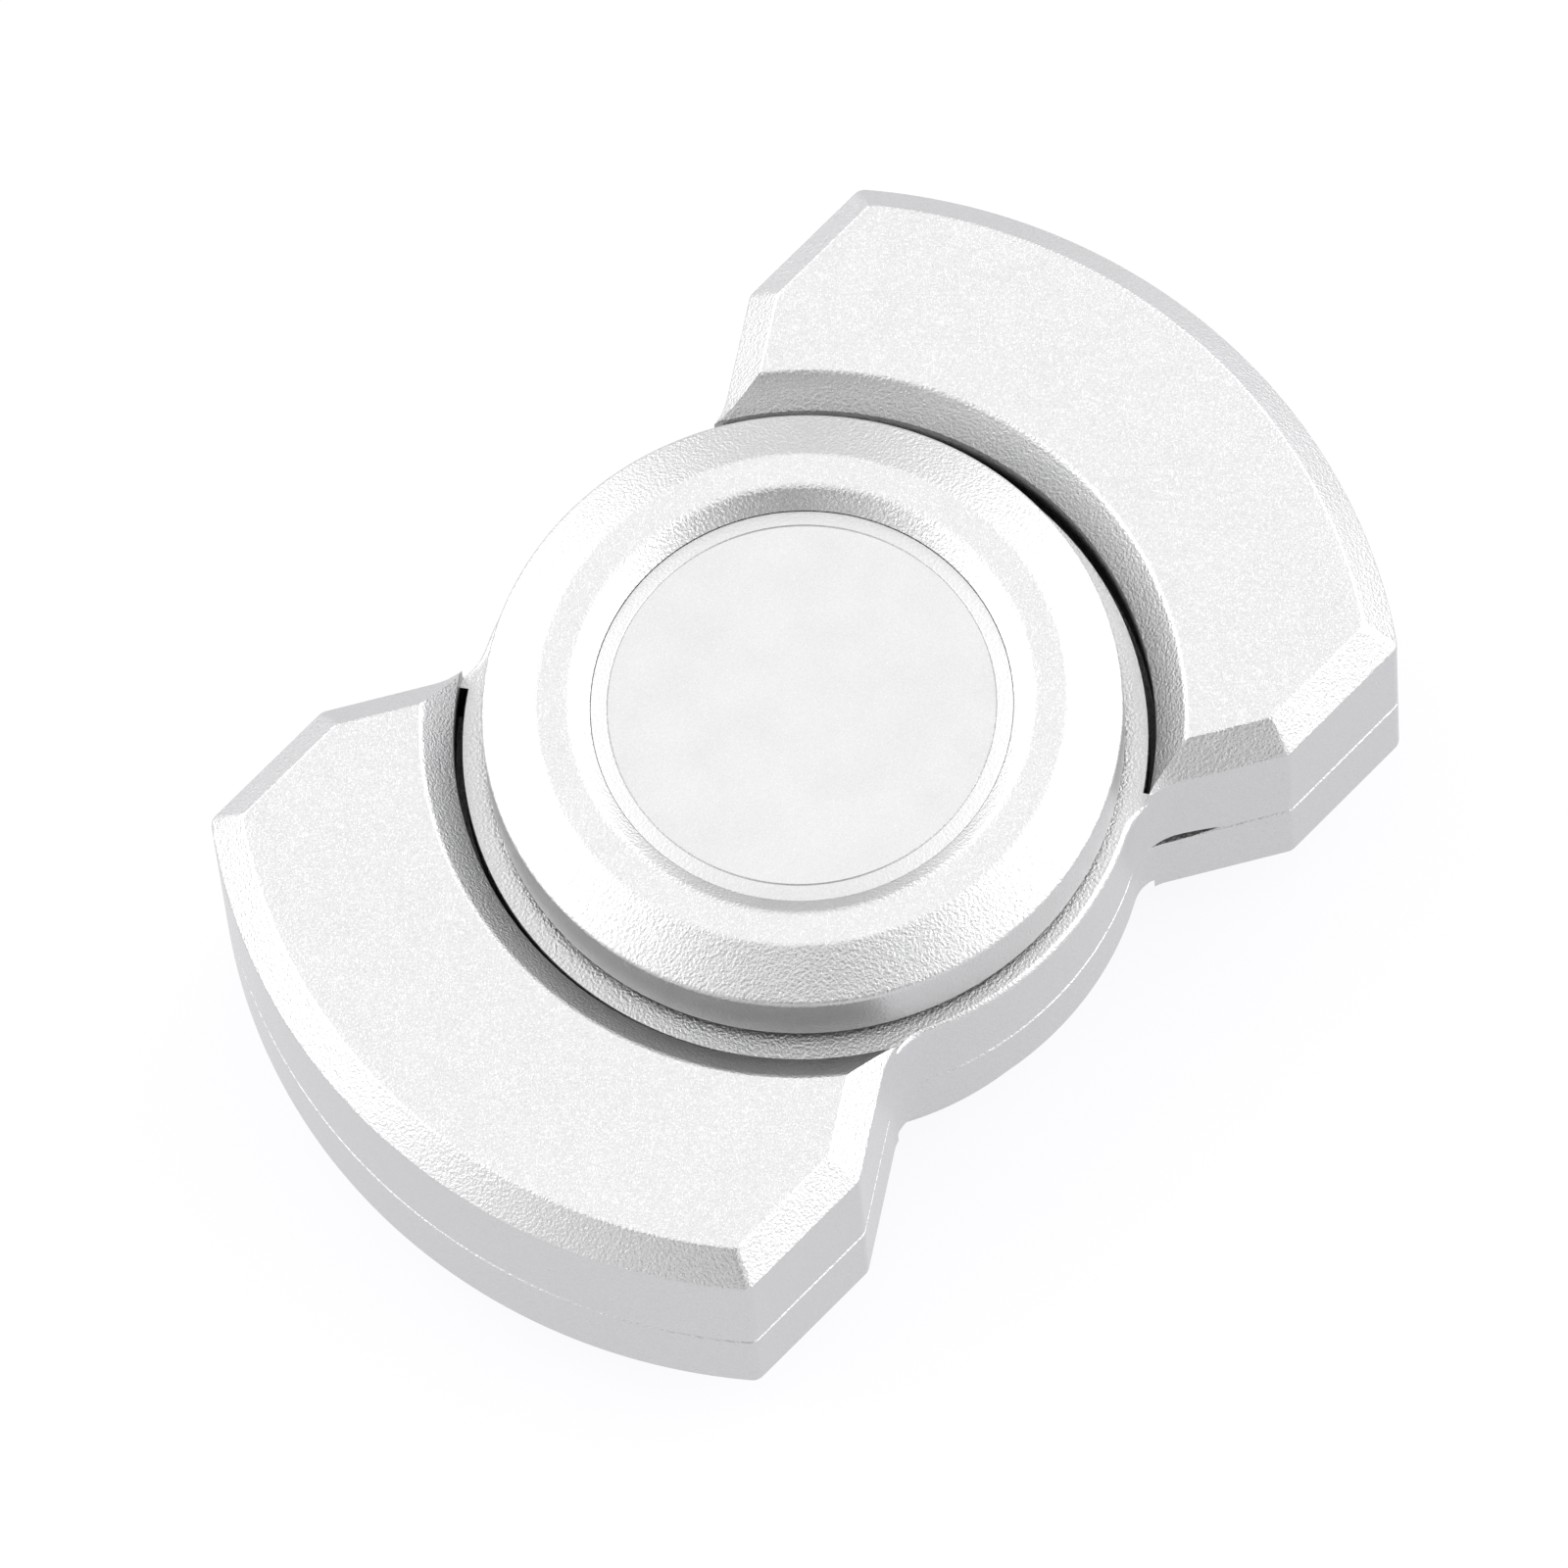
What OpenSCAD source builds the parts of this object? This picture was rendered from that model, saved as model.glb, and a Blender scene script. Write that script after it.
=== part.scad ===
/* [Body] */
// Length over the two lobe tips
body_len = 50; // [48:0.5:54]
// Width over the straight lobe sides
body_w = 31; // [30:0.5:33]
// Height of the straight outer wall, between the chamfers
wall_h = 10.3; // [10:0.1:11]
// Width of the edge chamfers, seen from above
chamfer_w = 1.3; // [0.8:0.1:1.4]
// Height of the edge chamfers
chamfer_h = 1.4; // [1:0.1:1.6]
// Diameter of the round waist between the lobes
waist_d = 28.1; // [27.5:0.1:28.3]
// Where the straight lobe side ends and the neck begins, from the centre
neck_x = 12.95; // [12:0.05:14]
// Angle of the neck's side to the length
neck_angle = 32; // [28:1:34]
// Height of the parting line, from the middle of the body
seam_z = -0.75; // [-1:0.05:0.6]

/* [Button recess] */
// Radius of the lobes' inner wall around the button
recess_r = 14.65; // [14.6:0.05:15]
// Width of the recess's edge chamfer, seen from above
recess_chamfer_w = 1.3; // [0.8:0.1:1.4]
// Height of the recess's edge chamfer
recess_chamfer_h = 1.3; // [1.2:0.05:1.8]
// Depth of the recess floor below the top of the straight wall
recess_drop = 0.75; // [0.4:0.05:1]
// Outer radius of the recess floor, where the ring groove starts
floor_r = 14.4; // [14.3:0.05:14.5]
// Depth of the ring groove below the recess floor
groove_depth = 1.6; // [0.8:0.1:2]

/* [Finger buttons] */
// Radius of the upper button's outer wall
button_r = 13.35; // [12.8:0.05:13.6]
// Radius of the lower button's outer wall
lower_button_r = 12.9; // [12.5:0.05:13.3]
// Height of the button's flat rim above the middle of the body
button_z = 9; // [8.4:0.1:9.4]
// Width of the button's edge chamfer, seen from above
button_chamfer_w = 2.3; // [1.5:0.1:2.5]
// Height of the button's edge chamfer
button_chamfer_h = 1.1; // [0.8:0.1:1.4]
// Outer radius of the dished middle
dish_r = 9.6; // [9:0.1:10]
// Depth of the dished middle
dish_depth = 0.7; // [0.4:0.05:0.9]
// Radius of the inlaid disc
inlay_r = 8.8; // [8.4:0.1:8.9]
// Thickness of the inlaid disc
inlay_t = 0.9; // [0.7:0.1:1]

/* [Lobe weights and fasteners] */
// Height of each counterweight
weight_h = 6; // [4:0.5:7]
// Gap around each counterweight
weight_gap = 0.1; // [0.05:0.05:0.2]
// Diameter of the screw shanks
screw_d = 2; // [1.6:0.1:2]
// Diameter of the screw heads
screw_head_d = 3.8; // [3:0.1:3.8]
// Diameter of the dowel pins
dowel_d = 1.5; // [1:0.1:1.5]
// Length of the dowel pins
dowel_len = 5; // [3:0.5:6]

/* [Hidden] */
$fn = 96;

steel = "gainsboro";
tip_r = body_len / 2;
half_w = body_w / 2;
wall_z = wall_h / 2;
body_z = wall_z + chamfer_h;
waist_r = waist_d / 2;
floor_z = wall_z - recess_drop;
far = 4 * body_len;

// Ball bearing of the standard 8 x 22 x 7 mm size, with seven balls
race_z = 3.5;
race_r = 11;
bore_r = 4;
ball_d = 3.969;
ball_r = ball_d / 2;
ball_count = 7;
pitch_r = 7.5;
track_r = 0.52 * ball_d;
ball_play = 0.03;
inner_land_r = pitch_r - 1.45;
outer_land_r = pitch_r + 2.1;
shield_z = race_z - 0.35;
shield_t = 0.25;
shield_seat_r = outer_land_r + 0.35;
seat_play = 0.02;
cage_inner_r = pitch_r - 0.95;
cage_outer_r = pitch_r + 1.1;
cage_pocket_r = ball_r + 0.08;
cage_top_z = 1.1;
cage_bottom_z = -2.5;

// Button stack
spacer_t = 0.5;
spacer_r = 5.6;
boss_z = race_z + spacer_t;
button_bottom_z = floor_z + 0.35;
button_boss_r = 5.6;
inlay_z = button_z - dish_depth;
inlay_bevel = 0.7;
inlay_play = 0.05;
stem_r = bore_r - 0.02;
pin_r = 2.6;
pin_play = 0.02;

// Lobe interior
lip_r = 9.9;
pocket_outer_r = tip_r - 2.2;
pocket_half_w = half_w - 2.2;
pocket_x = 16.4;
screw_x = 15.3;
screw_y = 11;
boss_pad_r = 3.1;
screw_head_h = 1;
screw_tip_z = 2.4;
screw_seat_z = -4.5;
dowel_x = 13.2;
fit = 0.02;

// Lens-shaped pry slot above the parting line, one on each side
pry_len = 5.6;
pry_h = 0.45;
pry_depth = 1.4;
pry_from_corner = 5;
pry_r = (pry_len * pry_len / 4 + pry_h * pry_h) / (2 * pry_h);

// A prism along the local X axis with the body's chamfered section on its +Y side
module chamfered_half_space(edge)
{
    rotate([90, 0, 90])
    linear_extrude(far, center = true)
    polygon([[-far, -body_z], [edge - chamfer_w, -body_z], [edge, -wall_z],
        [edge, wall_z], [edge - chamfer_w, body_z], [-far, body_z]]);
}

// The body's round outline, with chamfered edges
module chamfered_disc()
{
    rotate_extrude()
    polygon([[0, -body_z], [tip_r - chamfer_w, -body_z], [tip_r, -wall_z],
        [tip_r, wall_z], [tip_r - chamfer_w, body_z], [0, body_z]]);
}

// Half space behind one neck side, for the lobe on +X
module neck_side()
{
    translate([neck_x, half_w, 0])
    rotate([0, 0, neck_angle])
    chamfered_half_space(0);
}

// One solid lobe on +X, chamfered on every outside edge
module solid_lobe()
{
    intersection() {
        chamfered_disc();
        chamfered_half_space(half_w);
        mirror([0, 1, 0]) chamfered_half_space(half_w);
        neck_side();
        mirror([0, 1, 0]) neck_side();
        translate([5, -far / 2, -far / 2]) cube(far);
    }
}

// The round recess that each button sits in, with a chamfered wall
module button_recess()
{
    rotate_extrude()
    polygon([[0, floor_z], [recess_r, floor_z], [recess_r, body_z - recess_chamfer_h],
        [recess_r + recess_chamfer_w, body_z], [recess_r + recess_chamfer_w, body_z + 1],
        [0, body_z + 1]]);
}

// Narrow ring groove between the recess floor and the lobes
module ring_groove()
{
    rotate_extrude()
    translate([floor_r, floor_z - groove_depth])
    square([recess_r - floor_r, groove_depth + 1]);
}

// Whole body as one solid, before it is split and hollowed
module body_blank()
{
    difference() {
        union() {
            solid_lobe();
            mirror([1, 0, 0]) solid_lobe();
            cylinder(r = waist_r, h = 2 * floor_z, center = true);
        }
        button_recess();
        mirror([0, 0, 1]) button_recess();
        ring_groove();
        mirror([0, 0, 1]) ring_groove();
    }
}

// Plan of the weight pocket on +X, grown by a margin
module pocket_plan(margin)
{
    intersection() {
        circle(r = pocket_outer_r + margin);
        translate([pocket_x - margin, -pocket_half_w - margin])
        square([far, 2 * (pocket_half_w + margin)]);
    }
}

// A counterweight's solid on +X, grown by a margin
module weight_solid(margin)
{
    difference() {
        linear_extrude(weight_h + 2 * margin, center = true)
        pocket_plan(margin);
        for (side = [-1, 1]) {
            translate([screw_x, side * screw_y, 0])
            cylinder(r = boss_pad_r - margin, h = far, center = true);
        }
    }
}

// Space for the bearing: outer race seat, retaining lips and stem opening
module bearing_space()
{
    cylinder(r = race_r + seat_play, h = 2 * (race_z + fit), center = true);
    cylinder(r = lip_r, h = far, center = true);
}

// Calls its children at the four screw positions
module at_screws()
{
    for (side_x = [-1, 1], side_y = [-1, 1]) {
        translate([side_x * screw_x, side_y * screw_y, 0]) children();
    }
}

// Calls its children at the two dowel positions
module at_dowels()
{
    for (side = [-1, 1]) {
        translate([side * dowel_x, 0, seam_z]) children();
    }
}

// One countersunk screw, head down, grown by a margin
module screw_solid(margin)
{
    head_r = screw_head_d / 2 + margin;
    shank_r = screw_d / 2 + margin;
    rotate_extrude()
    polygon([[0, -body_z], [head_r, -body_z], [head_r, screw_seat_z - screw_head_h],
        [shank_r, screw_seat_z], [shank_r, screw_tip_z + margin],
        [0, screw_tip_z + margin]]);
}

// Pry slot in the neck side at +X and -Y: an arc rising above the parting line
module pry_slot()
{
    translate([neck_x, -half_w, seam_z])
    rotate([0, 0, -neck_angle])
    translate([-pry_from_corner, 0, pry_h - pry_r])
    rotate([90, 0, 0])
    cylinder(r = pry_r, h = 2 * pry_depth, center = true);
}

// Half of the body on one side of the parting line, with its cavities
module shell(side)
{
    difference() {
        body_blank();
        translate([-far / 2, -far / 2, seam_z - (side > 0 ? far : 0)]) cube(far);
        bearing_space();
        weight_solid(weight_gap);
        mirror([1, 0, 0]) weight_solid(weight_gap);
        at_dowels()
        cylinder(d = dowel_d + 2 * fit, h = dowel_len + 0.4, center = true);
        at_screws() screw_solid(fit);
        if (side > 0) {
            pry_slot();
            rotate([0, 0, 180]) pry_slot();
        }
    }
}

module upper_shell()
{
    color(steel) shell(1);
}

module lower_shell()
{
    color(steel) shell(-1);
}

module left_counterweight()
{
    color("darkgoldenrod") mirror([1, 0, 0]) weight_solid(0);
}

module right_counterweight()
{
    color("darkgoldenrod") weight_solid(0);
}

module shell_screws()
{
    color("dimgray")
    at_screws()
    difference() {
        screw_solid(0);
        translate([0, 0, -body_z - 1]) cylinder(d = 1.3, h = 2, $fn = 6);
    }
}

module dowel_pins()
{
    color("lightsteelblue")
    at_dowels()
    cylinder(d = dowel_d, h = dowel_len, center = true);
}

// Outer race: a ring with a ball track and two shield seats
module bearing_outer_race()
{
    color("silver")
    rotate_extrude()
    difference() {
        translate([outer_land_r, -race_z])
        square([race_r - outer_land_r, 2 * race_z]);
        translate([pitch_r + ball_r + ball_play - track_r, 0]) circle(r = track_r);
        for (side = [-1, 1]) {
            translate([0, side > 0 ? shield_z - shield_t : -race_z - 1])
            square([shield_seat_r, race_z - shield_z + shield_t + 1]);
        }
    }
}

// Inner race: a ring with a ball track
module bearing_inner_race()
{
    color("silver")
    rotate_extrude()
    difference() {
        translate([bore_r, -race_z])
        square([inner_land_r - bore_r, 2 * race_z]);
        translate([pitch_r - ball_r - ball_play + track_r, 0]) circle(r = track_r);
    }
}

// Crown cage: one ring with a pocket for each ball
module bearing_cage()
{
    color("saddlebrown")
    difference() {
        rotate_extrude()
        translate([cage_inner_r, cage_bottom_z])
        square([cage_outer_r - cage_inner_r, cage_top_z - cage_bottom_z]);
        for (i = [0 : ball_count - 1]) {
            rotate([0, 0, i * 360 / ball_count])
            translate([pitch_r, 0, 0])
            sphere(r = cage_pocket_r);
        }
    }
}

// Ball number i, counted from +X
module ball(i)
{
    color("white")
    rotate([0, 0, (i - 1) * 360 / ball_count])
    translate([pitch_r, 0, 0])
    sphere(r = ball_r);
}

module ball_1()
{
    ball(1);
}

module ball_2()
{
    ball(2);
}

module ball_3()
{
    ball(3);
}

module ball_4()
{
    ball(4);
}

module ball_5()
{
    ball(5);
}

module ball_6()
{
    ball(6);
}

module ball_7()
{
    ball(7);
}

// Thin ring that closes one side of the bearing
module bearing_shield()
{
    color("darkgray")
    translate([0, 0, shield_z - shield_t])
    difference() {
        cylinder(r = shield_seat_r - fit, h = shield_t);
        translate([0, 0, -1]) cylinder(r = inner_land_r + 0.3, h = shield_t + 2);
    }
}

module top_bearing_shield()
{
    bearing_shield();
}

module bottom_bearing_shield()
{
    mirror([0, 0, 1]) bearing_shield();
}

// The button's turned head, with a dish for the inlaid disc
module button_head(outer_r)
{
    chamfer_z = button_z - button_chamfer_h;
    rim_r = outer_r - button_chamfer_w;
    rotate_extrude()
    polygon([[0, boss_z], [button_boss_r, boss_z], [button_boss_r, button_bottom_z],
        [outer_r, button_bottom_z], [outer_r, chamfer_z], [rim_r, button_z],
        [dish_r, button_z], [inlay_r + inlay_play, inlay_z],
        [inlay_r + inlay_play, inlay_z - inlay_t], [0, inlay_z - inlay_t]]);
}

// Upper button: its pin fits the lower button's hollow stem
module top_button()
{
    color(steel) {
        button_head(button_r);
        translate([0, 0, -2]) cylinder(r = pin_r, h = boss_z + 2.2);
    }
}

// Lower button: its stem carries the bearing's inner race
module bottom_button()
{
    color(steel)
    difference() {
        union() {
            mirror([0, 0, 1]) button_head(lower_button_r);
            translate([0, 0, -boss_z - 0.2]) cylinder(r = stem_r, h = boss_z + 0.2 + race_z);
        }
        translate([0, 0, -2.2]) cylinder(r = pin_r + pin_play, h = far);
    }
}

// Disc with a bevelled edge, set into the button's dish
module inlay()
{
    color("whitesmoke")
    rotate_extrude()
    polygon([[0, inlay_z - inlay_t + fit], [inlay_r, inlay_z - inlay_t + fit],
        [inlay_r, inlay_z - inlay_bevel / 4], [inlay_r - inlay_bevel, inlay_z],
        [0, inlay_z]]);
}

module top_inlay()
{
    inlay();
}

module bottom_inlay()
{
    mirror([0, 0, 1]) inlay();
}

// Shim between the inner race and a button's boss
module spacer()
{
    color("darkgray")
    translate([0, 0, race_z])
    difference() {
        cylinder(r = spacer_r, h = spacer_t);
        translate([0, 0, -1]) cylinder(r = bore_r, h = spacer_t + 2);
    }
}

module top_spacer()
{
    spacer();
}

module bottom_spacer()
{
    mirror([0, 0, 1]) spacer();
}

upper_shell();
lower_shell();
left_counterweight();
right_counterweight();
shell_screws();
dowel_pins();
bearing_outer_race();
bearing_inner_race();
bearing_cage();
ball_1();
ball_2();
ball_3();
ball_4();
ball_5();
ball_6();
ball_7();
top_bearing_shield();
bottom_bearing_shield();
top_button();
bottom_button();
top_inlay();
bottom_inlay();
top_spacer();
bottom_spacer();
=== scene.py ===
"""Looks for a two-lobed metal fidget spinner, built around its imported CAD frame.

Lengths are in millimetres while a mesh is being made, and in metres once it is an object.
"""
from math import acos, atan2, ceil, cos, degrees, pi, radians, sin, sqrt, tan

import bmesh
import bpy
from mathutils import Matrix, Vector


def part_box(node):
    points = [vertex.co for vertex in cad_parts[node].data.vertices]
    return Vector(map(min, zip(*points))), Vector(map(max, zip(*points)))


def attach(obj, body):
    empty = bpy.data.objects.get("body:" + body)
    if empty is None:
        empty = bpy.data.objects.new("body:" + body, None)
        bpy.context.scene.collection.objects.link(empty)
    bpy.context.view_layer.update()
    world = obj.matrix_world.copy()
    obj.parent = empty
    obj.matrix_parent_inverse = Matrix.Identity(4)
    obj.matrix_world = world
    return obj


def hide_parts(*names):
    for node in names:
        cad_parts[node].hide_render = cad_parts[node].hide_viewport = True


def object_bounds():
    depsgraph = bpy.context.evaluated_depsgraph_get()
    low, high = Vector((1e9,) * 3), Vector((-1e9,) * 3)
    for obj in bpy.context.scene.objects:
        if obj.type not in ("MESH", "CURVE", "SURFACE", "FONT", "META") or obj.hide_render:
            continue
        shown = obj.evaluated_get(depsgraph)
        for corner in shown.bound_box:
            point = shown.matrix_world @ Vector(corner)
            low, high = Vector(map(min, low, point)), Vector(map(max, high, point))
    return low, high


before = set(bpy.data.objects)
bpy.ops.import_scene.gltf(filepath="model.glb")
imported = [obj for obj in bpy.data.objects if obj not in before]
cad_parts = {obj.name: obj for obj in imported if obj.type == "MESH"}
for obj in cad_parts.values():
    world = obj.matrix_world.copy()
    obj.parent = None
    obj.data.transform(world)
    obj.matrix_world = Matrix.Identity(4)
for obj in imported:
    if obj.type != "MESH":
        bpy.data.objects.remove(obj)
cad_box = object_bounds()

MM = 0.001


# ---------------------------------------------------------------- sizes

def node_top(node, axis):
    """Highest coordinate of a CAD node along one axis, in millimetres."""
    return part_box(node)[1][axis] / MM


def node_bottom(node, axis):
    """Lowest coordinate of a CAD node along one axis, in millimetres."""
    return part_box(node)[0][axis] / MM


TIP_R = node_top("upper_shell", 0)
HALF_W = node_top("upper_shell", 1)
BODY_Z = node_top("upper_shell", 2)
SEAM_Z = node_bottom("upper_shell", 2)
BUTTON_R = node_top("top_button", 0)
LOWER_BUTTON_R = node_top("bottom_button", 0)
BUTTON_Z = node_top("top_button", 2)
INLAY_Z = node_top("top_inlay", 2)
INLAY_R = node_top("top_inlay", 0)
RACE_R = node_top("bearing_outer_race", 0)
RACE_Z = node_top("bearing_outer_race", 2)

CHAMFER_W = 1.3
CHAMFER_H = 1.4
WAIST_R = 14.1
NECK_X = 12.95
NECK_ANGLE = radians(32)
RECESS_R = 14.65
RECESS_CHAMFER_W = 1.3
RECESS_CHAMFER_H = 1.3
RECESS_DROP = 0.75
FLOOR_Z = BODY_Z - CHAMFER_H - RECESS_DROP
LIP_R = 9.9
# Play around a piece that sits in another.
FIT = 0.02
SEAT_R = RACE_R + FIT
# Keeps two surfaces from lying in the same place, where a cut would be unclean.
SPLIT = 0.01
# How far a cutter stands out past what it cuts.
PAST = 1

# Straight pieces in each curve of the plan.
TIP_STEPS = 48
TIP_CORNER_STEPS = 8
NECK_CORNER_STEPS = 6
NECK_STEPS = 16
FILLET_STEPS = 20
WAIST_STEPS = 32
# Degrees for each straight piece of a rounded corner in a section.
ROUNDING_STEP = 12
# Straight pieces around turned parts.
TURNED_STEPS = 240
BUTTON_STEPS = 360
HOLE_STEPS = 64
DOWEL_STEPS = 48


# ---------------------------------------------------------------- outlines and profiles

def arc_points(centre, radius, start, end, steps):
    """Points along an arc, both ends included. Angles in radians."""
    turn = (end - start) / steps
    return [(centre[0] + radius * cos(start + i * turn),
             centre[1] + radius * sin(start + i * turn)) for i in range(steps + 1)]


NECK_OUTWARD = Vector((-sin(NECK_ANGLE), cos(NECK_ANGLE)))
NECK_ALONG = Vector((cos(NECK_ANGLE), sin(NECK_ANGLE)))
NECK_CORNER = Vector((NECK_X, HALF_W))


def notch_centre(fillet):
    """Centre of the hollow rounding between the neck and the waist."""
    start = NECK_CORNER + NECK_OUTWARD * fillet
    middle = start.dot(NECK_ALONG)
    reach = (WAIST_R + fillet) ** 2 - start.length_squared + middle ** 2
    return start + NECK_ALONG * (sqrt(reach) - middle)


def quarter_outline(inset, corner, fillet):
    """The body's outline from the +X tip to the +Y side of the waist, moved in by inset."""
    tip = TIP_R - inset
    side = HALF_W - inset
    neck = NECK_CORNER - NECK_OUTWARD * inset

    tip_corner = Vector((sqrt((tip - corner) ** 2 - (side - corner) ** 2), side - corner))
    tip_angle = atan2(tip_corner.y, tip_corner.x)
    neck_corner = Vector((neck.x + ((side - corner - neck.y) * cos(NECK_ANGLE) + corner)
                          / sin(NECK_ANGLE), side - corner))
    notch = notch_centre(fillet)
    notch_angle = atan2(notch.y, notch.x)
    neck_direction = pi / 2 + NECK_ANGLE

    points = arc_points((0, 0), tip, 0, tip_angle, TIP_STEPS)[:-1]
    points += arc_points(tip_corner, corner, tip_angle, pi / 2, TIP_CORNER_STEPS)
    points += arc_points(neck_corner, corner, pi / 2, neck_direction, NECK_CORNER_STEPS)
    points += arc_points(notch, fillet + inset, neck_direction - pi, notch_angle - pi, FILLET_STEPS)
    points += arc_points((0, 0), WAIST_R - inset, notch_angle, pi / 2, WAIST_STEPS)[1:]
    return points


def notch_path(fillet, first):
    """Outline points with inward normals, from the neck to the middle of the +Y waist side.

    first is how far down the neck the path starts, counted from the neck's outer corner.
    """
    centre = notch_centre(fillet)
    notch_angle = atan2(centre.y, centre.x)
    length = (NECK_CORNER - centre + NECK_OUTWARD * fillet).length
    path = []
    for i in range(NECK_STEPS):
        along = first + (length - first) * i / NECK_STEPS
        path.append((NECK_CORNER - NECK_ALONG * along, -NECK_OUTWARD))
    start = NECK_ANGLE - pi / 2
    for i in range(FILLET_STEPS + 1):
        angle = start + (notch_angle - pi - start) * i / FILLET_STEPS
        inward = Vector((cos(angle), sin(angle)))
        path.append((centre + inward * fillet, inward))
    for i in range(1, WAIST_STEPS + 1):
        angle = notch_angle + (pi / 2 - notch_angle) * i / WAIST_STEPS
        outward = Vector((cos(angle), sin(angle)))
        path.append((outward * WAIST_R, -outward))
    return path


def mirrored(vector, x, y):
    """A vector with its parts multiplied by x and y."""
    return Vector((vector.x * x, vector.y * y))


def full_outline(inset, corner, fillet):
    """The whole closed outline, anticlockwise from the +X tip."""
    quarter = quarter_outline(inset, corner, fillet)
    half = quarter + [(-x, y) for x, y in reversed(quarter[:-1])]
    return half[:-1] + [(x, -y) for x, y in reversed(half)][:-1]


def rounded(points, radii, closed=True):
    """A polyline with its corners rounded. radii has one radius for each point."""
    result = []
    count = len(points)
    for i, (point, radius) in enumerate(zip(points, radii)):
        if radius == 0 or (not closed and i in (0, count - 1)):
            result.append(tuple(point))
            continue
        here = Vector(point)
        back = (Vector(points[i - 1]) - here).normalized()
        ahead = (Vector(points[(i + 1) % count]) - here).normalized()
        half = acos(max(-1, min(1, back.dot(ahead)))) / 2
        centre = here + (back + ahead).normalized() * radius / sin(half)
        first = here + back * radius / tan(half) - centre
        last = here + ahead * radius / tan(half) - centre
        turn = pi - 2 * half
        steps = max(2, ceil(degrees(turn) / ROUNDING_STEP))
        for k in range(steps + 1):
            t = k / steps
            arm = first * sin((1 - t) * turn) + last * sin(t * turn)
            result.append(tuple(centre + arm / sin(turn)))
    return result


# ---------------------------------------------------------------- mesh making

def new_object(name, build):
    """An object from a bmesh that build fills in millimetres."""
    mesh = bpy.data.meshes.new(name)
    bm = bmesh.new()
    build(bm)
    bmesh.ops.recalc_face_normals(bm, faces=bm.faces)
    bmesh.ops.scale(bm, vec=(MM, MM, MM), verts=bm.verts)
    bm.to_mesh(mesh)
    bm.free()
    obj = bpy.data.objects.new(name, mesh)
    bpy.context.scene.collection.objects.link(obj)
    return obj


def revolve(name, profile, steps=TURNED_STEPS, centre=(0, 0), flip=False):
    """A solid of revolution about a line along Z. profile is a closed loop of (radius, height)."""
    sign = -1 if flip else 1
    on_axis = 1e-6

    def build(bm):
        rings = []
        for r, z in profile:
            if r < on_axis:
                rings.append([bm.verts.new((centre[0], centre[1], sign * z))] * steps)
                continue
            rings.append([bm.verts.new((centre[0] + r * cos(2 * pi * k / steps),
                                        centre[1] + r * sin(2 * pi * k / steps), sign * z))
                          for k in range(steps)])
        for lower, upper in zip(rings, rings[1:] + rings[:1]):
            for k in range(steps):
                corners = [lower[k], lower[(k + 1) % steps], upper[(k + 1) % steps], upper[k]]
                corners = list(dict.fromkeys(corners))
                if len(corners) > 2:
                    bm.faces.new(corners)
    return new_object(name, build)


def loft(name, loops):
    """A solid through stacked loops of 3-D points, closed by a flat face at each end."""
    def build(bm):
        rows = [[bm.verts.new(p) for p in loop] for loop in loops]
        for lower, upper in zip(rows, rows[1:]):
            for k in range(len(lower)):
                nxt = (k + 1) % len(lower)
                bm.faces.new((lower[k], lower[nxt], upper[nxt], upper[k]))
        bm.faces.new(rows[0])
        bm.faces.new(rows[-1])
    return new_object(name, build)


def prism(name, outline, low, high):
    """An outline in the XY plane, extruded from low to high."""
    return loft(name, [[(x, y, z) for x, y in outline] for z in (low, high)])


def swept(name, path, sections):
    """A solid along a path of (point, normal). Each section has (distance along normal, height)."""
    return loft(name, [[(point.x + normal.x * d, point.y + normal.y * d, z) for d, z in section]
                       for (point, normal), section in zip(path, sections)])


def applied(obj):
    """Replaces an object's mesh by what its modifiers make of it."""
    depsgraph = bpy.context.evaluated_depsgraph_get()
    mesh = bpy.data.meshes.new_from_object(obj.evaluated_get(depsgraph))
    obj.modifiers.clear()
    obj.data = mesh
    return obj


def cut(obj, cutters):
    """Cuts each cutter from obj, one after the other, and removes the cutters."""
    for cutter in cutters:
        modifier = obj.modifiers.new("cut", "BOOLEAN")
        modifier.operation = "DIFFERENCE"
        modifier.solver = "EXACT"
        modifier.object = cutter
    applied(obj)
    for cutter in cutters:
        bpy.data.objects.remove(cutter)
    return obj


def smooth(obj, angle=30):
    """Smooth shading that keeps flat faces flat and edges past the angle sharp."""
    mesh = obj.data
    mesh.polygons.foreach_set("use_smooth", [True] * len(mesh.polygons))
    mesh.set_sharp_from_angle(angle=radians(angle))
    modifier = obj.modifiers.new("flat faces", "WEIGHTED_NORMAL")
    modifier.mode = "FACE_AREA_WITH_ANGLE"
    modifier.keep_sharp = True
    return obj


def place(obj, body, slot, material, *nodes):
    """Gives a piece its material and its CAD body, and hides the CAD nodes that it stands for."""
    obj.data.materials.clear()
    obj.data.materials.append(material)
    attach(obj, body)
    if nodes:
        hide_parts(*nodes)
    return obj


# ---------------------------------------------------------------- materials

def shader(name, **values):
    """A material whose principled shader has the given socket values."""
    material = bpy.data.materials.new(name)
    material.use_nodes = True
    principled = material.node_tree.nodes["Principled BSDF"]
    for socket, value in values.items():
        principled.inputs[socket.replace("_", " ")].default_value = value
    return material, material.node_tree, principled


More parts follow.
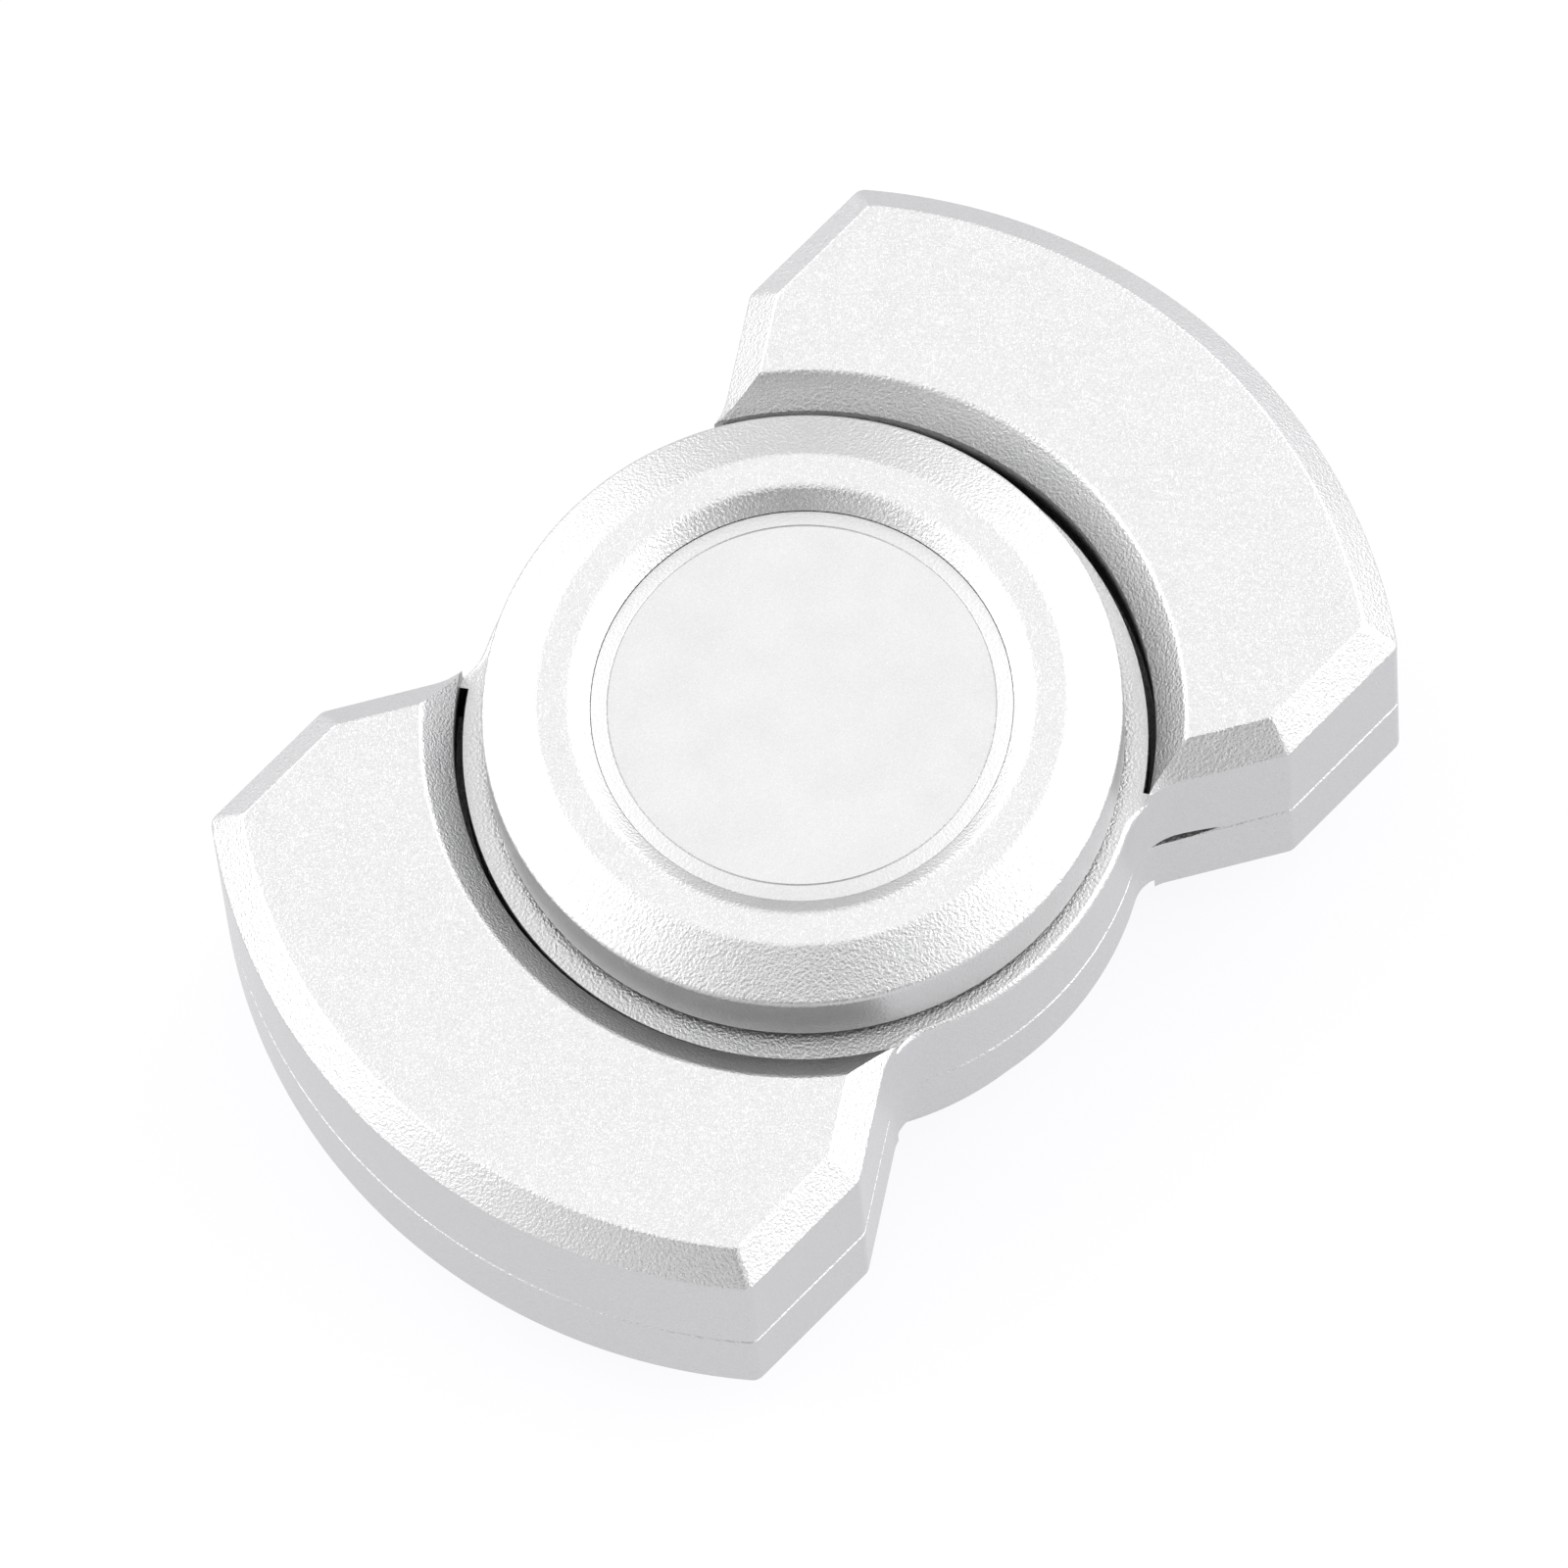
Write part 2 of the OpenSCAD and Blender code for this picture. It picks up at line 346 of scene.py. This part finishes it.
def noise(tree, scale, detail=2.0, stretch=(1, 1, 1)):
    """A noise texture in object space. scale is in cells for each metre."""
    coords = tree.nodes.new("ShaderNodeTexCoord")
    mapping = tree.nodes.new("ShaderNodeMapping")
    mapping.inputs["Scale"].default_value = stretch
    texture = tree.nodes.new("ShaderNodeTexNoise")
    texture.inputs["Scale"].default_value = scale
    texture.inputs["Detail"].default_value = detail
    tree.links.new(coords.outputs["Object"], mapping.inputs["Vector"])
    tree.links.new(mapping.outputs["Vector"], texture.inputs["Vector"])
    return texture.outputs["Fac"]


def mapped(tree, value, low, high, start=0.3, end=0.7):
    """A value remapped from start to end, by default the middle range of a noise, to low to high."""
    node = tree.nodes.new("ShaderNodeMapRange")
    node.inputs["From Min"].default_value = start
    node.inputs["From Max"].default_value = end
    node.inputs["To Min"].default_value = low
    node.inputs["To Max"].default_value = high
    tree.links.new(value, node.inputs["Value"])
    return node.outputs["Result"]


def mixed_colour(tree, factor, first, second):
    """Mixes two colours by a factor output. A colour is three numbers, or an output."""
    node = tree.nodes.new("ShaderNodeMix")
    node.data_type = "RGBA"
    for socket, colour in (("A", first), ("B", second)):
        if isinstance(colour, tuple):
            node.inputs[socket].default_value = (*colour, 1)
        else:
            tree.links.new(colour, node.inputs[socket])
    tree.links.new(factor, node.inputs["Factor"])
    return node.outputs["Result"]


def bump(tree, height, distance, strength, below=None):
    """A bump node. distance is in metres."""
    node = tree.nodes.new("ShaderNodeBump")
    node.inputs["Distance"].default_value = distance
    node.inputs["Strength"].default_value = strength
    tree.links.new(height, node.inputs["Height"])
    if below:
        tree.links.new(below, node.inputs["Normal"])
    return node.outputs["Normal"]


# Reach of the painted shade in a gap, in metres, and the openness where it starts and ends.
GAP_REACH = 0.0015
GAP_SHUT = 0.12
GAP_OPEN = 0.5
GAP_SAMPLES = 8
# Colour of the painted shade deep inside a gap.
PAINTED_GAP_SHADE_COLOUR = (0.03, 0.03, 0.03)


def painted_gap_shade(tree, colour):
    """A colour with painted shade: it turns dark inside narrow gaps, by how closed in the surface is.
    """
    gap = tree.nodes.new("ShaderNodeAmbientOcclusion")
    gap.only_local = True
    gap.samples = GAP_SAMPLES
    gap.inputs["Distance"].default_value = GAP_REACH
    openness = mapped(tree, gap.outputs["AO"], 0, 1, GAP_SHUT, GAP_OPEN)
    return mixed_colour(tree, openness, PAINTED_GAP_SHADE_COLOUR, colour)


# Grain sizes are in cells for each metre, and depths are in metres.
BLOTCH_SCALE = 450
DIMPLE_SCALE = 7500
DIMPLE_DEPTH = 0.00004
GLINT_SCALE = 14000
GLINT_DEPTH = 0.00001
STAIN_SCALE = 300
RING_STRETCH = (0.05, 0.05, 1)
RING_DEPTH = 0.000004
RING_STRENGTH = 0.4
EGGSHELL_SCALE = 5000
EGGSHELL_DEPTH = 0.00001
EGGSHELL_STRENGTH = 0.5


def blasted_metal(name, light, dark, rough_low, rough_high, grain):
    """Bead-blasted aluminium: fine dimples, faint blotches, a glint in the grain, and painted shade in
    gaps.
    """
    material, tree, principled = shader(name, Metallic=1.0)
    blotch = noise(tree, BLOTCH_SCALE, 3)
    glint = noise(tree, GLINT_SCALE, 2)
    dimples = noise(tree, DIMPLE_SCALE, 2)
    colour = mixed_colour(tree, mapped(tree, glint, 0, 1), dark, light)
    # Painted shade darkens the base colour inside narrow gaps.
    tree.links.new(painted_gap_shade(tree, colour), principled.inputs["Base Color"])
    tree.links.new(mapped(tree, blotch, rough_low, rough_high), principled.inputs["Roughness"])
    normal = bump(tree, dimples, DIMPLE_DEPTH, grain)
    tree.links.new(bump(tree, glint, GLINT_DEPTH, grain, normal), principled.inputs["Normal"])
    return material


def turned_metal(name, light, dark, roughness, scale=2500):
    """Machined or ground metal, with fine rings along the height and small stains."""
    material, tree, principled = shader(name, Metallic=1.0)
    rings = noise(tree, scale, 2, RING_STRETCH)
    stain = noise(tree, STAIN_SCALE, 3)
    tree.links.new(mixed_colour(tree, stain, dark, light), principled.inputs["Base Color"])
    tree.links.new(mapped(tree, rings, roughness * 0.7, roughness * 1.3),
                   principled.inputs["Roughness"])
    tree.links.new(bump(tree, rings, RING_DEPTH, RING_STRENGTH), principled.inputs["Normal"])
    return material


def moulded_plastic(name, light, dark):
    """Moulded nylon with a faint eggshell texture."""
    material, tree, principled = shader(name, Metallic=0.0)
    blotch = noise(tree, 500, 2)
    grain = noise(tree, EGGSHELL_SCALE, 2)
    tree.links.new(mixed_colour(tree, blotch, dark, light), principled.inputs["Base Color"])
    tree.links.new(mapped(tree, grain, 0.4, 0.6), principled.inputs["Roughness"])
    tree.links.new(bump(tree, grain, EGGSHELL_DEPTH, EGGSHELL_STRENGTH), principled.inputs["Normal"])
    return material


SHELL_METAL = blasted_metal("blasted_shell", (0.6, 0.6, 0.604), (0.53, 0.53, 0.534),
                            0.34, 0.38, 1)
INLAY_METAL = blasted_metal("blasted_inlay", (0.6, 0.6, 0.604), (0.55, 0.55, 0.554),
                            0.38, 0.44, 0.45)
RACE_STEEL = turned_metal("ground_steel", (0.62, 0.63, 0.65), (0.5, 0.51, 0.53), 0.25)
SHIELD_STEEL = turned_metal("pressed_steel", (0.55, 0.56, 0.58), (0.45, 0.46, 0.48), 0.35)
BALL_STEEL = turned_metal("polished_steel", (0.78, 0.79, 0.8), (0.74, 0.75, 0.76), 0.08)
SCREW_STEEL = turned_metal("screw_steel", (0.5, 0.51, 0.53), (0.4, 0.41, 0.43), 0.35, 6000)
BRASS = turned_metal("machined_brass", (0.8, 0.62, 0.3), (0.62, 0.46, 0.2), 0.3, 1500)
NYLON = moulded_plastic("cage_nylon", (0.1, 0.1, 0.1), (0.05, 0.05, 0.05))


# ---------------------------------------------------------------- camera

VIEW_ELEVATION = radians(67.2)
VIEW_AZIMUTH = radians(-41.2)
VIEW_ROLL = radians(5.6)
VIEW_DISTANCE = 0.82
FRAME_WIDTH = 0.0657
AIM_RIGHT = -0.00105
AIM_UP = -0.0001


def add_camera():
    """A long lens at the height and turn of a product shot, rolled a little."""
    cos_e = cos(VIEW_ELEVATION)
    sin_e = sin(VIEW_ELEVATION)
    back = Vector((sin(VIEW_AZIMUTH) * cos_e, -cos(VIEW_AZIMUTH) * cos_e, sin_e))
    level = Vector((cos(VIEW_AZIMUTH), sin(VIEW_AZIMUTH), 0))
    rise = back.cross(level)
    right = level * cos(VIEW_ROLL) - rise * sin(VIEW_ROLL)
    up = level * sin(VIEW_ROLL) + rise * cos(VIEW_ROLL)
    data = bpy.data.cameras.new("camera")
    data.lens = data.sensor_width * VIEW_DISTANCE / FRAME_WIDTH
    data.clip_end = 20
    camera = bpy.data.objects.new("camera", data)
    location = right * AIM_RIGHT + up * AIM_UP + back * VIEW_DISTANCE
    rotation = Matrix((right, up, back)).transposed().to_4x4()
    camera.matrix_world = Matrix.Translation(location) @ rotation
    bpy.context.scene.collection.objects.link(camera)
    bpy.context.scene.camera = camera


# ---------------------------------------------------------------- shells

EDGE_R = 0.2
RECESS_EDGE_R = 0.6
SEAM_GAP = 0.05
SEAM_EDGE_R = 0.05
UPPER_BREAK = 0.05
LOWER_BREAK = 0.14
PLAN_CORNER = 0.6
PLAN_CORNER_LEAST = 0.06
# How much sharper a plan corner gets for each millimetre further in.
PLAN_CORNER_TAPER = 0.1
UPPER_FILLET = 3.0
LOWER_FILLET = 1.8


def outer_blank(name, seam, seam_break, fillet):
    """One half of the body as a solid, with its outside edges chamfered and eased."""
    corners = [(seam_break, seam), (0, seam + seam_break), (0, BODY_Z - CHAMFER_H),
               (CHAMFER_W, BODY_Z), (CHAMFER_W + 1, BODY_Z)]
    loops = []
    for inset, z in rounded(corners, [0, SEAM_EDGE_R, EDGE_R, EDGE_R, 0], closed=False):
        corner = max(PLAN_CORNER_LEAST, PLAN_CORNER - inset * PLAN_CORNER_TAPER)
        loops.append([(x, y, z) for x, y in full_outline(inset, corner, fillet + SPLIT)])
    return loft(name, loops)


def recess_profile(seam):
    """Half section of all that is turned out of a half: bearing seat, lip and recess."""
    rim_r = RECESS_R + RECESS_CHAMFER_W
    points = [(0, seam - PAST), (SEAT_R, seam - PAST), (SEAT_R, RACE_Z + FIT),
              (LIP_R, RACE_Z + FIT), (LIP_R, FLOOR_Z), (RECESS_R, FLOOR_Z),
              (RECESS_R, BODY_Z - RECESS_CHAMFER_H), (rim_r, BODY_Z), (rim_r + PAST, BODY_Z + 0.1),
              (0, BODY_Z + PAST)]
    return rounded(points, [0, 0, 0, 0, 0.15, 0, 0.1, RECESS_EDGE_R, 0, 0])


GROOVE_R = 14.35
GROOVE_DEPTH = 1.6
GROOVE_END_DEPTH = 0.2
# The groove's inner edge slopes at 45 degrees, from just above the floor to just below it.
GROOVE_EDGE_ABOVE = 0.06
GROOVE_EDGE_BELOW = 0.05
# Angles in degrees: from the groove's end to the neck, and along the groove while it deepens.
GROOVE_END_GAP = 1.5
GROOVE_FADE = 2.5
GROOVE_STEPS = 90


def groove_cutters(fillet):
    """Ring groove at the foot of each lobe's inner wall, fading out at the necks."""
    neck_start = 3
    walls = [point for point, normal in notch_path(fillet, neck_start) if point.length > RECESS_R]
    end = degrees(atan2(walls[-1].y, walls[-1].x)) - GROOVE_END_GAP
    top = FLOOR_Z + GROOVE_EDGE_ABOVE
    edge = FLOOR_Z - GROOVE_EDGE_BELOW
    flare_r = GROOVE_R - (GROOVE_EDGE_ABOVE + GROOVE_EDGE_BELOW)
    outer_r = RECESS_R + SPLIT
    cutters = []
    for turn in (0, 180):
        loops = []
        for i in range(GROOVE_STEPS + 1):
            offset = end * (2 * i / GROOVE_STEPS - 1)
            fade = min(1, (end - abs(offset)) / GROOVE_FADE)
            low = FLOOR_Z - GROOVE_END_DEPTH - (GROOVE_DEPTH - GROOVE_END_DEPTH) * fade
            angle = radians(turn + offset)
            section = [(flare_r, top), (GROOVE_R, edge), (GROOVE_R, low), (outer_r, low),
                       (outer_r, top)]
            loops.append([(r * cos(angle), r * sin(angle), z) for r, z in section])
        cutters.append(loft("groove", loops))
    return cutters


WAIST_EDGE_R = 0.25
WAIST_EDGE_LEAST = 0.06
WAIST_EDGE_ANGLES = (12, 28, 45, 62, 78)
# How far outside the waist the edge's cutters reach.
WAIST_REACH = -0.5


def waist_cutters(fillet):
    """Cutters that round the top edge of the waist, and fade out where the necks rise."""
    neck_start = 4
    path = [step for step in notch_path(fillet, neck_start) if step[0].length < RECESS_R]
    path += [(mirrored(point, -1, 1), mirrored(normal, -1, 1)) for point, normal in reversed(path[:-1])]
    full_by = WAIST_R + 0.1
    top = FLOOR_Z + 0.1
    sections = []
    for point, normal in path:
        near = min(1, (RECESS_R - point.length) / (RECESS_R - full_by))
        r = WAIST_EDGE_LEAST + (WAIST_EDGE_R - WAIST_EDGE_LEAST) * near
        past = 1.15 * r
        section = [(WAIST_REACH, FLOOR_Z - past), (-0.2 * r, FLOOR_Z - past)]
        for angle in WAIST_EDGE_ANGLES:
            section.append((r - r * cos(radians(angle)), FLOOR_Z - r + r * sin(radians(angle))))
        sections.append(section + [(past, FLOOR_Z + 0.2 * r), (past, top), (WAIST_REACH, top)])
    return half_turn_pair("waist_edge", path, sections)


def half_turn_pair(name, path, sections):
    """Two swept cutters, the second half a turn around from the first."""
    cutters = [swept(name, path, sections) for side in (0, 1)]
    cutters[1].data.transform(Matrix.Rotation(pi, 4, "Z"))
    return cutters


# Slots at the parting line, by their length along the neck and their height at the middle.
SLOT_START = 1.8
SLOT_MIDDLE = 5.2
SLOT_HALF_LEN = 2.7
SLOT_DEPTH = 2.4
SLOT_REACH = -0.4
SLOT_LEAST_SHARE = 0.05
UPPER_SLOT = 0.5
LOWER_SLOT = -0.15
UPPER_SLOT_PAST = -0.5
LOWER_SLOT_PAST = 0.8


def pry_slots(height, past_seam):
    """Cutters for the lens-shaped slots at the parting line, one in each of two necks.

    height is how far the slot goes into the shell, and past_seam is the cutter's other side.
    """
    path = []
    sections = []
    length = SLOT_START
    last = None
    for point, normal in notch_path(UPPER_FILLET, SLOT_START):
        length += (point - last).length if last else 0
        last = point
        share = 1 - ((length - SLOT_MIDDLE) / SLOT_HALF_LEN) ** 2
        if share > SLOT_LEAST_SHARE:
            path.append((mirrored(point, 1, -1), mirrored(normal, 1, -1)))
            low, high = sorted((SEAM_Z + height * share, SEAM_Z + past_seam))
            sections.append([(SLOT_REACH, low), (SLOT_REACH, high), (SLOT_DEPTH, high),
                             (SLOT_DEPTH, low)])
    return half_turn_pair("pry_slot", path, sections)


SCREW_X = 15.3
SCREW_Y = 11.0
SCREW_PLACES = [(x, y) for x in (-SCREW_X, SCREW_X) for y in (-SCREW_Y, SCREW_Y)]
SCREW_HEAD_R = 1.9
SCREW_SHANK_R = 1.0
SCREW_HEAD_Z = -5.5
SCREW_SHANK_Z = -4.5
SCREW_TOP_Z = 2.4
BOSS_R = 3.1
POCKET_X = 16.4
POCKET_WALL = 2.2
POCKET_STEPS = 40
WEIGHT_GAP = 0.1
DOWEL_R = 0.75
DOWEL_END_GAP = 0.2


def screw_hole_profile():
    """Half section of the hole that a countersunk screw goes into, from below."""
    head_r = SCREW_HEAD_R + FIT
    shank_r = SCREW_SHANK_R + FIT
    top = SCREW_TOP_Z + FIT
    return [(0, -BODY_Z - PAST), (head_r, -BODY_Z - PAST), (head_r, SCREW_HEAD_Z),
            (shank_r, SCREW_SHANK_Z), (shank_r, top), (0, top)]


def pocket_plan(side):
    """Plan of the weight pocket in one lobe."""
    outer = TIP_R - POCKET_WALL + WEIGHT_GAP
    half_w = HALF_W - POCKET_WALL + WEIGHT_GAP
    near = POCKET_X - WEIGHT_GAP
    angle = atan2(half_w, sqrt(outer ** 2 - half_w ** 2))
    points = arc_points((0, 0), outer, -angle, angle, POCKET_STEPS)
    points += [(near, half_w), (near, -half_w)]
    return [(side * x, y) for x, y in points]


def weight_pocket(side):
    """Cutter for one lobe's weight pocket, which leaves the bosses around the screws."""
    low = node_bottom("left_counterweight", 2) - WEIGHT_GAP
    high = node_top("left_counterweight", 2) + WEIGHT_GAP
    boss_r = BOSS_R - WEIGHT_GAP
    boss = [(0, low - PAST), (boss_r, low - PAST), (boss_r, high + PAST), (0, high + PAST)]
    pocket = prism("pocket", pocket_plan(side), low, high)
    return cut(pocket, [revolve("boss", boss, HOLE_STEPS, spot)
                        for spot in SCREW_PLACES if spot[0] * side > 0])


def dowel_holes():
    """Cutters for the two dowel holes."""
    low = node_bottom("dowel_pins", 2) - DOWEL_END_GAP
    high = node_top("dowel_pins", 2) + DOWEL_END_GAP
    x = node_top("dowel_pins", 0) - DOWEL_R
    hole_r = DOWEL_R + FIT
    return [revolve("dowel_hole", [(0, low), (hole_r, low), (hole_r, high), (0, high)], DOWEL_STEPS,
                    (side * x, 0)) for side in (-1, 1)]


def screw_holes():
    """Cutters for the four screw holes."""
    return [revolve("screw_hole", screw_hole_profile(), HOLE_STEPS, spot) for spot in SCREW_PLACES]


def turned_cutters(seam, fillet):
    """Cutters for the recess, for the groove in it and for the edge of the waist."""
    recess = revolve("recess", recess_profile(seam))
    return [recess] + groove_cutters(fillet) + waist_cutters(fillet)


def inside_cutters():
    """Cutters for the weights, the dowels and the screws."""
    return [weight_pocket(side) for side in (-1, 1)] + dowel_holes() + screw_holes()


def add_upper_shell():
    """The upper half of the body."""
    shell = outer_blank("upper_case", SEAM_Z + SEAM_GAP / 2, UPPER_BREAK, UPPER_FILLET)
    slots = pry_slots(UPPER_SLOT, UPPER_SLOT_PAST)
    cut(shell, turned_cutters(SEAM_Z, UPPER_FILLET) + slots + inside_cutters())
    place(smooth(shell), "rotor", "blasted_aluminium", SHELL_METAL, "upper_shell")


def add_lower_shell():
    """The lower half of the body, built upside down and turned over."""
    shell = outer_blank("lower_case", -SEAM_Z + SEAM_GAP / 2, LOWER_BREAK, LOWER_FILLET)
    cut(shell, turned_cutters(-SEAM_Z, LOWER_FILLET))
    shell.data.transform(Matrix.Rotation(pi, 4, "X"))
    cut(shell, pry_slots(LOWER_SLOT, LOWER_SLOT_PAST) + inside_cutters())
    place(smooth(shell), "rotor", "blasted_aluminium", SHELL_METAL, "lower_shell")


# ---------------------------------------------------------------- buttons

BUTTON_CHAMFER_W = 2.3
BUTTON_CHAMFER_H = 1.1
BUTTON_BOTTOM_Z = FLOOR_Z + 0.35
BOSS_BOTTOM_Z = RACE_Z + 0.5
BUTTON_BOSS_R = 5.6
DISH_R = 9.6
INLAY_T = 0.9
INLAY_BEVEL = 0.7
STEM_R = 3.98
PIN_R = 2.6
PIN_PLAY = 0.02
PIN_LOW_Z = -2.0
PIN_END_GAP = 0.2
SEAT_PLAY = 0.012
# The fine V groove around the disc's flat: half its width, and its depth.
RING_HALF_W = 0.04
RING_DEEP = 0.04
BEVEL_DROP = 0.1


def button_profile(outer_r):
    """Half section of a button's head, from the axis out to radius outer_r and back."""
    seat_r = INLAY_R + SEAT_PLAY
    points = [(0, BOSS_BOTTOM_Z), (BUTTON_BOSS_R, BOSS_BOTTOM_Z), (BUTTON_BOSS_R, BUTTON_BOTTOM_Z),
              (outer_r, BUTTON_BOTTOM_Z), (outer_r, BUTTON_Z - BUTTON_CHAMFER_H),
              (outer_r - BUTTON_CHAMFER_W, BUTTON_Z), (DISH_R, BUTTON_Z), (seat_r, INLAY_Z - 0.05),
              (seat_r, INLAY_Z - INLAY_T), (0, INLAY_Z - INLAY_T)]
    radii = [0, 0.1, 0.2, 0.2, 0.3, 0.5, 0.6, 0.03, 0.05, 0]
    return rounded(points, radii)


def add_top_button():
    """Upper button: head and solid pin in one turned piece."""
    pin = rounded([(0, PIN_LOW_Z), (PIN_R, PIN_LOW_Z), (PIN_R, BOSS_BOTTOM_Z)], [0, 0.2, 0.1],
                  closed=False)
    button = revolve("top_cap", pin + button_profile(BUTTON_R)[1:], BUTTON_STEPS)
    place(smooth(button), "button", "blasted_aluminium", SHELL_METAL, "top_button")


def add_bottom_button():
    """Lower button: head and hollow stem in one turned piece, made right way up and turned over."""
    bore_r = PIN_R + PIN_PLAY
    bore_end = PIN_END_GAP - PIN_LOW_Z
    stem = rounded([(0, bore_end), (bore_r, bore_end), (bore_r, -RACE_Z), (STEM_R, -RACE_Z),
                    (STEM_R, BOSS_BOTTOM_Z)], [0, 0.1, 0.1, 0.15, 0.1], closed=False)
    button = revolve("bottom_cap", stem + button_profile(LOWER_BUTTON_R)[1:], BUTTON_STEPS, flip=True)
    place(smooth(button), "button", "blasted_aluminium", SHELL_METAL, "bottom_button")


def add_inlay(name, node, flip):
    """Disc with a bevelled rim and a fine ring around its flat, set into a button's dish."""
    low = INLAY_Z - INLAY_T + FIT
    flat_r = INLAY_R - INLAY_BEVEL
    points = [(0, low), (INLAY_R, low), (INLAY_R, INLAY_Z - BEVEL_DROP),
              (flat_r + RING_HALF_W, INLAY_Z - 0.003), (flat_r, INLAY_Z - RING_DEEP),
              (flat_r - RING_HALF_W, INLAY_Z), (0, INLAY_Z)]
    disc = revolve(name, rounded(points, [0, 0.05, 0.05, 0, 0, 0, 0]), BUTTON_STEPS, flip=flip)
    place(smooth(disc, 12), "button", "inlay_aluminium", INLAY_METAL, node)


# ---------------------------------------------------------------- inside pieces

def finish_cad(node, material):
    """Keeps a CAD node's own shape and gives it a finished material."""
    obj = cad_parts[node]
    obj.data.materials.clear()
    obj.data.materials.append(material)


def add_inside():
    """Materials for the pieces that keep their CAD shape."""
    finishes = [
        (RACE_STEEL, ["bearing_outer_race", "bearing_inner_race", "top_spacer", "bottom_spacer"]),
        (NYLON, ["bearing_cage"]),
        (SHIELD_STEEL, ["top_bearing_shield", "bottom_bearing_shield"]),
        (SCREW_STEEL, ["dowel_pins", "shell_screws"]),
        (BRASS, ["left_counterweight", "right_counterweight"]),
        (BALL_STEEL, [f"ball_{i}" for i in range(1, 8)]),
    ]
    for material, nodes in finishes:
        for node in nodes:
            finish_cad(node, material)


# ---------------------------------------------------------------- studio

FLOOR_SIZE = 3.0
FLOOR_COLOUR = (0.08, 0.08, 0.082)
FLOOR_GLOW_COLOUR = (0.985, 0.985, 1)
FLOOR_GLOW = 0.9
DOME_LIGHT = 1.0
# Soft patches of the dome: azimuth and elevation of the middle, then the angles from it where the
# patch starts and ends to fade, all in degrees, and the light that it adds.
DOME_PATCHES = [
    (180, 75, 20, 100, 0.25),
    (100, 18, 25, 60, 2.1),
    (-110, 15, 25, 60, 2.1),
    (0, 38, 11, 28, -1.05),
    (0, 8, 5, 30, 0.15),
    (180, 8, 8, 40, -0.2),
]


def towards(azimuth, elevation):
    """Unit vector from the object. Azimuth is counted from the camera's side, to the right."""
    turn = VIEW_AZIMUTH + radians(azimuth)
    lift = radians(elevation)
    return Vector((sin(turn) * cos(lift), -cos(turn) * cos(lift), sin(lift)))


def total(tree, first, second):
    """An output plus a number or another output."""
    node = tree.nodes.new("ShaderNodeMath")
    node.operation = "ADD"
    tree.links.new(first, node.inputs[0])
    if isinstance(second, float):
        node.inputs[1].default_value = second
    else:
        tree.links.new(second, node.inputs[1])
    return node.outputs["Value"]


def soft_patch(tree, direction, azimuth, elevation, inner, outer, strength):
    """Light from a round soft-edged patch of the studio dome. inner and outer are in degrees."""
    dot = tree.nodes.new("ShaderNodeVectorMath")
    dot.operation = "DOT_PRODUCT"
    tree.links.new(direction, dot.inputs[0])
    dot.inputs[1].default_value = towards(azimuth, elevation)
    ramp = tree.nodes.new("ShaderNodeMapRange")
    ramp.interpolation_type = "SMOOTHSTEP"
    ramp.inputs["From Min"].default_value = cos(radians(outer))
    ramp.inputs["From Max"].default_value = cos(radians(inner))
    ramp.inputs["To Min"].default_value = 0
    ramp.inputs["To Max"].default_value = strength
    tree.links.new(dot.outputs["Value"], ramp.inputs["Value"])
    return ramp.outputs["Result"]


def add_floor():
    """Pale glowing table top under the object."""
    z = cad_box[0][2]
    mesh = bpy.data.meshes.new("floor")
    corners = [(x * FLOOR_SIZE, y * FLOOR_SIZE, z) for x, y in ((-1, -1), (1, -1), (1, 1), (-1, 1))]
    mesh.from_pydata(corners, [], [(0, 1, 2, 3)])
    floor = bpy.data.objects.new("floor", mesh)
    bpy.context.scene.collection.objects.link(floor)
    material, tree, principled = shader("floor_paper", Roughness=0.9)
    principled.inputs["Base Color"].default_value = (*FLOOR_COLOUR, 1)
    principled.inputs["Emission Color"].default_value = (*FLOOR_GLOW_COLOUR, 1)
    principled.inputs["Emission Strength"].default_value = FLOOR_GLOW
    principled.inputs["Specular IOR Level"].default_value = 0
    mesh.materials.append(material)


def add_dome():
    """White studio dome, brighter overhead and at both sides, and darker in front and low behind."""
    world = bpy.data.worlds.new("studio")
    world.use_nodes = True
    tree = world.node_tree
    direction = tree.nodes.new("ShaderNodeTexCoord").outputs["Generated"]
    first, *others = [soft_patch(tree, direction, *patch) for patch in DOME_PATCHES]
    light = first
    for addend in others + [DOME_LIGHT]:
        light = total(tree, light, addend)
    background = tree.nodes["Background"]
    background.inputs["Color"].default_value = (1, 1, 1, 1)
    tree.links.new(light, background.inputs["Strength"])
    bpy.context.scene.world = world
    bpy.context.scene.view_settings.view_transform = "Standard"


add_camera()
add_upper_shell()
add_lower_shell()
add_top_button()
add_bottom_button()
add_inlay("top_disc", "top_inlay", False)
add_inlay("bottom_disc", "bottom_inlay", True)
add_inside()
add_floor()
add_dome()
